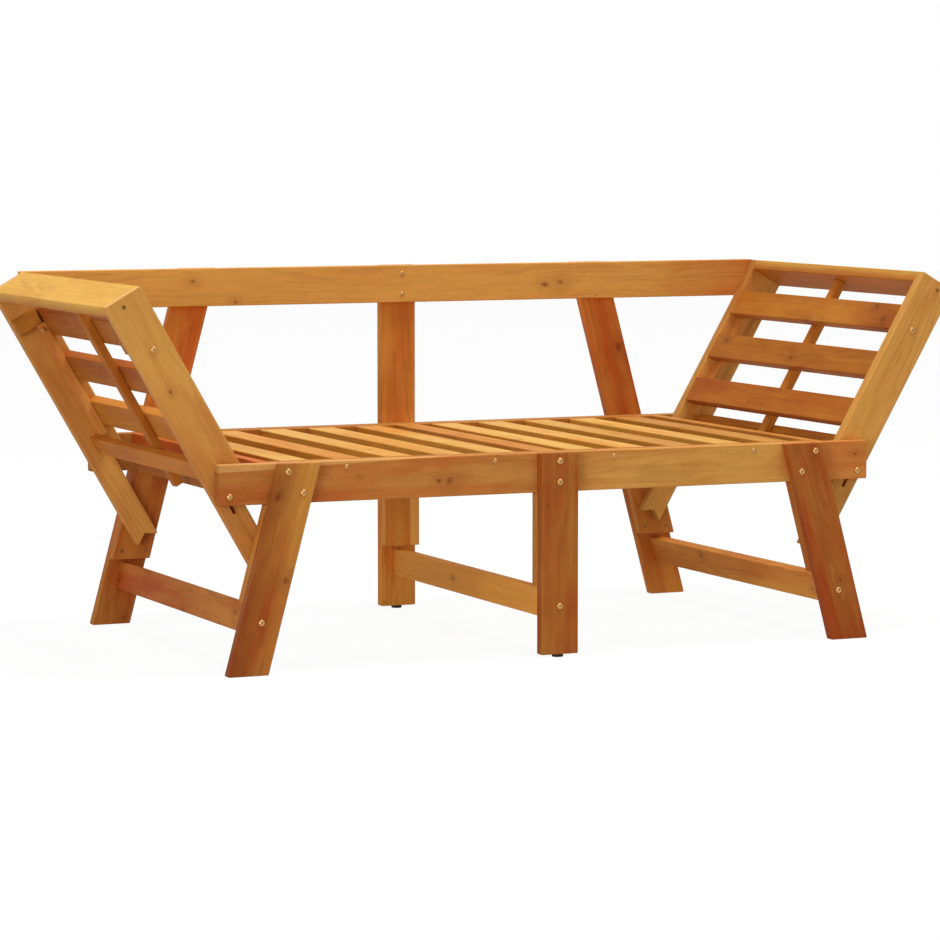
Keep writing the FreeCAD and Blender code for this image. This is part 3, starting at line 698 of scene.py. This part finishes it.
# Lists run from the arms' tails up, and from front to back. The side battens are sawn from
# the arms' wood, and the middle one from the slats'. Edge values are painted light and shade
# on sawn sides: lighter sides on the left panel's first two slats, darker ones on the slat
# under its cap, and darker sides on the right panel's arms and cap.
PANEL_LOOKS = {
    # Painted shade: the left front arm is drawn redder towards its tail, below the rail, where the
    # rail shades it.
    "left": dict(arm_front=dict(tone=(-0.08, -0.1, -0.03, -0.12), red=(0.57, 0.5, 0.2, -0.08),
                                knots=[(0.094, -0.009, 0.003)]),
                 arm_back=dict(tone=(0.08, -0.05, -0.08, -0.08), red=(-0.05, 0.25, 0.35)),
                 # Painted shade: depth draws the cap redder towards its underside.
                 cap=dict(tone=0.02, red=0.5, depth=60),
                 slats=(dict(tone=-0.05, edge=0.1, red=0.1),
                        dict(tone=-0.14, edge=0.15, red=0.68),
                        dict(tone=-0.14, edge=-0.3, red=0.73)),
                 board=dict(tone=0.06, red=0.38), blocks=dict(tone=-0.28, red=0.15),
                 side_battens=dict(tone=0.03, red=0.45), batten=dict(tone=-0.15, red=0.5)),
    "right": dict(arm_front=dict(tone=0.04, edge=-0.16, red=(-0.35, -0.35, 0.0, 0.1)),
                  arm_back=dict(tone=(0.06, 0.06, -0.08), edge=-0.26, red=(-0.15, -0.05, 0.4)),
                  # Painted shade: depth draws the cap redder towards its underside.
                  cap=dict(tone=-0.02, edge=-0.12, red=0.74, depth=-60),
                  slats=(dict(tone=-0.16, red=0.52),
                         dict(tone=-0.25, red=0.41, knots=[(-0.013, -0.009, 0.004)]),
                         dict(tone=-0.19, red=(0.6, 0.26, 0.26, 0.26),
                              knots=((-0.232, 0.017, 0.005), (-0.270, -0.0075, 0.009)))),
                  board=dict(tone=0.0, red=0.2), blocks=dict(tone=-0.1, red=0.2),
                  side_battens=dict(tone=-0.05, red=0.35), batten=dict(red=0.35))}
PANEL_SIDE = {"left": -1, "right": 1}


def panel_axes(end):
    """The panel's own directions, up along its arms and in towards the seat, and its pivot.

    The inward direction is the upward one turned a quarter circle about the pivot bolts.
    """
    joints = {joint["name"]: joint for joint in frame["joints"]}
    upward = np.array(joints[f"{end}_panel_lift"]["axis"])
    inward = np.array([-PANEL_SIDE[end] * upward[2], 0, PANEL_SIDE[end] * upward[0]])
    return upward, inward, np.array(joints[f"{end}_panel_tilt"]["pos_m"])


def groove_outline(start):
    """Two half circles and two sides, with normals that point into the groove."""
    turn = np.linspace(0, np.pi, GROOVE_END_POINTS)
    half = np.stack([np.cos(turn - np.pi / 2), np.sin(turn - np.pi / 2)], axis=1)
    ring = np.concatenate([half * GROOVE_RADIUS,
                           -half * GROOVE_RADIUS - [GROOVE_TRAVEL, 0]])
    return ring + start, -np.concatenate([half, -half])


for end, look in PANEL_LOOKS.items():
    body = f"panel_{end}"
    upward, inward, pivot = panel_axes(end)
    axes = np.array([upward, inward, np.cross(upward, inward)])
    pivot_place = (axes @ pivot)[:2]
    for row, outer_face in (("front", -1), ("back", 1)):
        node = f"{end}_arm_{row}"
        low, high = reach(node, axes)
        tail_edge = low[1] + TAIL_WIDTH
        step = pivot_place[0] + STEP_LEVEL
        corners = [(low[0], low[1]), (high[0], low[1]), (high[0], high[1]), (step, high[1]),
                   (step, tail_edge), (low[0], tail_edge),
                   (low[0] + NOTCH_DEPTH, low[1] + TAIL_WIDTH / 2)]
        radii = [CORNER_ROUND] * 4 + [STEP_ROUND] + [CORNER_ROUND] * 2
        in_upper = axes[2][1] * outer_face > 0
        groove = (*groove_outline(pivot_place), GROOVE_DEPTH, in_upper)
        board(f"{node}_board", node, body, "acacia_rail", arm_acacia, upward, inward,
              corners=corners, radii=radii, groove=groove, **look[f"arm_{row}"])
    board(f"{end}_cap_board", f"{end}_cap", body, "acacia_cap", cap_acacia, Y, inward,
          **look["cap"])
    for number, slat_look in enumerate(look["slats"], start=1):
        board(f"{end}_panel_slat_{number}_board", f"{end}_panel_slat_{number}", body,
              "acacia_panel", panel_acacia, Y, upward, **slat_look)
    board(f"{end}_bottom_board_piece", f"{end}_bottom_board", body, "acacia_panel",
          panel_acacia, Y, upward, **look["board"])
    for number, place in enumerate(PANEL_BATTEN_PLACES, start=1):
        board(f"{end}_panel_batten_{number}", f"{end}_panel_battens", body, "acacia_panel",
              arm_acacia if place else panel_acacia, upward, Y,
              keep=near(place), **look["side_battens" if place else "batten"])
    for number, place in enumerate(ARM_BLOCK_PLACES, start=1):
        board(f"{end}_arm_block_{number}", f"{end}_arm_blocks", body, "acacia_panel",
              panel_acacia, inward, Y, keep=near(place), **look["blocks"])

# Frame bolts: round-headed M6 bolts with hexagon sockets, in yellow zinc plate, through each
# leg or post into a rail or stretcher. Threaded inserts hold them on the far side.

# Points round a turned piece, and the sharpest bend that is shown smooth.
TURN_POINTS = 48
SMOOTH_BEND = np.radians(38)
# A cross recess's arms are a third as wide as they are long. The second value only keeps
# their straight sides from being divided by nothing.
CROSS_ARM = 0.34
CROSS_LEAST = 0.05


def turned(name, profile, places, outward, material, closed=False):
    """Round pieces: a profile carried round an axis at each place.

    A profile row is a radius and a height outward, in mm, and a shape. For shape 0 the radius
    runs round a circle. For shape 1 it runs round a hexagon: the radius over the cosine of the
    angle from the middle of a flat. For shape 2 it runs round a cross: the lesser of the radius
    over the greater of cosine and sine, and of a third of it over the lesser. A closed profile,
    such as a washer's, joins its last row to its first.
    """
    turn = np.linspace(0, 2 * np.pi, TURN_POINTS, endpoint=False)
    cosine, sine = np.abs(np.cos(turn)), np.abs(np.sin(turn))
    hexagon = 1 / np.cos((turn + np.pi / 6) % (np.pi / 3) - np.pi / 6)
    cross = np.minimum(1 / np.maximum(cosine, sine),
                       CROSS_ARM / np.maximum(np.minimum(cosine, sine), CROSS_LEAST))
    shapes = np.stack([np.ones(TURN_POINTS), hexagon, cross])
    profile = np.array(profile, float)
    radius = profile[:, 0, None] * shapes[profile[:, 2].astype(int)] / 1000
    first = X if outward[2] else np.cross(outward, Z)
    second = np.cross(outward, first)
    base = (radius[..., None] * (np.cos(turn)[:, None] * first + np.sin(turn)[:, None] * second)
            + profile[:, 1, None, None] / 1000 * outward).reshape(-1, 3)
    rows = len(profile)
    if closed:
        i = np.arange(rows * TURN_POINTS).reshape(rows, TURN_POINTS)
        grid = np.stack([i, np.roll(i, -1, 1), np.roll(np.roll(i, -1, 1), -1, 0),
                         np.roll(i, -1, 0)], 2).reshape(-1, 4)
        ends = []
    else:
        grid = ring_faces(rows, TURN_POINTS)
        ends = [np.arange(TURN_POINTS)[::-1], (rows - 1) * TURN_POINTS + np.arange(TURN_POINTS)]
    places = np.array(places, float)
    points = (places[:, None] + base[None]).reshape(-1, 3)
    starts = np.arange(len(places)) * len(base)
    faces = (grid[None] + starts[:, None, None]).reshape(-1, 4).tolist()
    faces += [(loop + start).tolist() for start in starts for loop in ends]
    piece = new_piece(name, points, faces, material)
    piece.data.set_sharp_from_angle(angle=SMOOTH_BEND)
    return piece


def plated_steel(name, bright, dull, blotch):
    """Steel under a thin coat, whose tint and gloss vary over blotches of a few mm."""
    material, tree = new_material(name)
    place = add(tree, "ShaderNodeTexCoord", {})["Object"]
    cloud = add(tree, "ShaderNodeTexNoise", {"Vector": place, "Scale": 1000 / blotch,
                                             "Detail": 3.0})
    colour = add(tree, "ShaderNodeMix", {0: cloud, 6: linear(bright), 7: linear(dull)},
                 data_type="RGBA")[2]
    rough = add(tree, "ShaderNodeMapRange", {"Value": cloud, "To Min": 0.26, "To Max": 0.42})
    metal = add(tree, "ShaderNodeBsdfPrincipled", {"Base Color": colour, "Metallic": 1.0,
                                                   "Roughness": rough})
    add(tree, "ShaderNodeOutputMaterial", {"Surface": metal})
    return material


# Profiles of a bolt's head with its hexagon socket, and of an insert's flange with its bore.
HEAD = [(5.4, -0.3, 0), (5.75, 0.2, 0), (5.75, 0.7, 0), (5.5, 1.3, 0), (4.9, 1.95, 0),
        (4.0, 2.5, 0), (3.2, 2.8, 0), (2.75, 2.9, 0), (2.2, 2.85, 1), (2.0, 2.6, 1),
        (2.0, 0.2, 1), (0.6, 0.0, 1)]
INSERT = [(4.6, -0.3, 0), (5.0, 0.2, 0), (5.0, 0.5, 0), (4.7, 0.7, 0), (3.2, 0.7, 0),
          (3.05, 0.2, 0), (0.8, 0.2, 0)]
# Yellow zinc plate: bright passivated steel, so that each head is a small gold glint.
yellow_zinc = plated_steel("yellow_zinc_plated_steel", "#DAB074", "#A8743E", 3.0)
# Heights of the bolts into rails, stretchers and top rail. In a leaning leg the rail bolts
# also stand aside of its middle line, by the second values.
BOLT_LEVELS = {0.3404: 0.0185, 0.3044: -0.0185}
STRETCHER_LEVEL = 0.089
TOP_LEVELS = (0.6376, 0.5996)
# From the bench's middle: where a leaning leg's middle line meets the floor, the outer faces
# of the legs and posts, and the rails' faces towards the seat.
LEG_AXIS_FOOT = 0.57377
LEG_FACE = 0.371
RAIL_INNER_FACE = 0.331


def leg_axis(way, z):
    """Where a leg's middle line is at a height: its place at the floor, less the lean."""
    return -way * (LEG_AXIS_FOOT - z * np.tan(LEAN))


rail_bolts = [(leg_axis(way, z) - way * aside, z)
              for way in LEAN_OF.values() for z, aside in BOLT_LEVELS.items()]
stretcher_bolts = [(leg_axis(way, STRETCHER_LEVEL), STRETCHER_LEVEL) for way in LEAN_OF.values()]
top_bolts = [(leg_axis(way, z), z) for way in LEAN_OF.values() for z in TOP_LEVELS]
frame_fixings = {
    "front_bolt_heads": (HEAD, rail_bolts + stretcher_bolts, -LEG_FACE, -Y),
    "back_bolt_heads": (HEAD, rail_bolts + stretcher_bolts + top_bolts, LEG_FACE, Y),
    "front_inserts": (INSERT, rail_bolts, -RAIL_INNER_FACE, Y),
    "back_inserts": (INSERT, rail_bolts, RAIL_INNER_FACE, -Y)}
for name, (profile, places, y, way) in frame_fixings.items():
    piece = turned(name, profile, [(x, y, z) for x, z in places], way, yellow_zinc)
    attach(piece, "base")

# Wood screws: plated steel, with round heads and cross recesses. They go through the rails
# into the seat frames, into the centre of the top rail, and two into the foot of each
# leaning leg's spacers.

# Profiles of a screw that stands proud, and of one driven in nearly flush.
SCREW = [(4.2, -0.3, 0), (4.5, 0.1, 0), (4.4, 0.8, 0), (3.8, 1.5, 0), (3.0, 1.9, 0),
         (2.6, 2.0, 0), (2.2, 1.9, 2), (2.0, 0.7, 2), (0.5, 0.4, 2)]
SUNK_SCREW = [(3.3, -0.3, 0), (3.5, 0.05, 0), (3.2, 0.35, 0), (2.1, 0.40, 0), (1.9, 0.38, 2),
              (1.7, 0.08, 2), (0.4, 0.06, 2)]
# Dull zinc plate: the same coat rubbed by the driver, so that it glints less and browner.
dull_zinc = plated_steel("dull_zinc_plated_steel", "#D6AA6E", "#A47846", 2.0)
# Steel drawn dark brown as painted shade, for the shadow in each sunk screw's hole, so that the
# screws show as small dark brown dots.
painted_shade_steel = plated_steel("painted_shade_steel", "#96683C", "#5C3A1E", 2.0)
RAIL_OUTER_FACE = 0.351
RAIL_SCREW_LEVEL = 0.3437
RAIL_SCREWS = [(x, RAIL_SCREW_LEVEL) for x in (-0.388, -0.1135, 0.1135, 0.388)]
SPACER_SCREWS = [(side * x, z) for side in (-1, 1) for x, z in ((0.559, 0.137), (0.513, 0.136))]
TOP_SCREWS = [(0, z) for z in TOP_LEVELS]
wood_screws = {
    "front_rail_screws": (SCREW, RAIL_SCREWS, -RAIL_OUTER_FACE, -Y, dull_zinc),
    "back_rail_screws": (SCREW, RAIL_SCREWS, RAIL_OUTER_FACE, Y, dull_zinc),
    "top_rail_screws": (SCREW, TOP_SCREWS, RAIL_INNER_FACE, -Y, dull_zinc),
    # The spacer screws carry painted shade: dark steel for the shadow in their holes.
    "front_spacer_screws": (SUNK_SCREW, SPACER_SCREWS, -RAIL_INNER_FACE, Y, painted_shade_steel),
    "back_spacer_screws": (SUNK_SCREW, SPACER_SCREWS, RAIL_INNER_FACE, -Y, painted_shade_steel)}
for name, (profile, places, y, way, steel) in wood_screws.items():
    piece = turned(name, profile, [(x, y, z) for x, z in places], way, steel)
    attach(piece, "base")

# Panel fixings: a zinc-plated bolt through each arm into an insert in its side batten, and a
# sunk wood screw through the arm into the end of the cap.

# Places up along a panel's arms and in towards the seat, from its pivot.
CAP_SCREW = (0.364, 0.0075)
ARM_BOLT = (0.2762, 0.0165)
ARM_INSERT = (0.2762, 0.0210)
# The arms' outer faces and the side battens' inner ones, from the bench's middle.
ARM_FACE = 0.329
BATTEN_FACE = 0.285
ROW_WAY = {"front": -Y, "back": Y}
panel_fixings = {"arm_bolt": (HEAD, ARM_BOLT, ARM_FACE, 1, dull_zinc),
                 "arm_insert": (INSERT, ARM_INSERT, BATTEN_FACE, -1, yellow_zinc),
                 # The cap screws carry painted shade: dark steel for the shadow in their holes.
                 "cap_screw": (SUNK_SCREW, CAP_SCREW, ARM_FACE, 1, painted_shade_steel)}
for end in PANEL_LOOKS:
    upward, inward, pivot = panel_axes(end)
    for row, way in ROW_WAY.items():
        for name, (profile, (up, across), face, sign, steel) in panel_fixings.items():
            place = pivot + up * upward + across * inward + face * way
            piece = turned(f"{end}_{row}_{name}", profile, [place], sign * way, steel)
            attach(piece, f"panel_{end}")

# Pivot bolts: zinc-plated steel, round-headed like the frame bolts, with a washer between rail
# and arm. They turn in the rails, and their plain ends run in the arms' grooves.

PIVOT_SHANK = [(2.9, -36.0, 0), (3.4, -35.4, 0), (3.4, 0.0, 0), (5.75, 0.0, 0)] + HEAD[1:]
WASHER = [(3.7, 0.05, 0), (8.8, 0.05, 0), (9.0, 0.25, 0), (9.0, 1.35, 0), (8.8, 1.55, 0),
          (3.7, 1.55, 0)]
# The heads turn 0.2 mm clear of the rails, and the washers as much of rails and arms.
PIVOT_HEAD_FACE = 0.3512
WASHER_FACE = 0.3292
pivot_fixings = {"pivot_bolt": (PIVOT_SHANK, PIVOT_HEAD_FACE, False),
                 "pivot_washer": (WASHER, WASHER_FACE, True)}
for end in PANEL_LOOKS:
    pivot = panel_axes(end)[2]
    for name, (profile, face, closed) in pivot_fixings.items():
        for row, way in ROW_WAY.items():
            piece = turned(f"{end}_{row}_{name}", profile, [pivot + face * way], way,
                           yellow_zinc, closed)
            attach(piece, f"pivots_{end}")
            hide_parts(f"{end}_pivot_bolts")

# Glides: matt black plastic discs under the two centre legs, moulded with an eased rim and
# fixed into the feet's end grain.

GLIDE = [(8.6, 0.0, 0), (9.4, 0.15, 0), (9.9, 0.7, 0), (10.0, 1.4, 0), (10.0, 4.9, 0),
         (3.0, 4.9, 0)]
LEG_MIDDLE = 0.361
# Moulded black plastic: deep black whose weak gloss is broken up by a pebbled grain. The
# grain is 1.25 mm, some four times as coarse as a real mould's, to show.
GLIDE_GRAIN = 1.25
glide_plastic, tree = new_material("moulded_black_plastic")
place = add(tree, "ShaderNodeTexCoord", {})["Object"]
specks = add(tree, "ShaderNodeTexNoise", {"Vector": place, "Scale": 1000 / GLIDE_GRAIN,
                                          "Detail": 2.0})
shade = add(tree, "ShaderNodeMix", {0: specks, 6: linear("#161412"), 7: linear("#24211E")},
            data_type="RGBA")[2]
bump = add(tree, "ShaderNodeBump", {"Height": specks, "Strength": 0.4, "Distance": 0.0002})
plastic = add(tree, "ShaderNodeBsdfPrincipled", {"Base Color": shade, "Roughness": 0.55,
                                                 "Specular IOR Level": 0.2,
                                                 "Normal": bump})
add(tree, "ShaderNodeOutputMaterial", {"Surface": plastic})
glides = turned("leg_glides", GLIDE, [(0, -LEG_MIDDLE, 0), (0, LEG_MIDDLE, 0)], Z, glide_plastic)
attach(glides, "base")
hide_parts("foot_glides")

low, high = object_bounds()
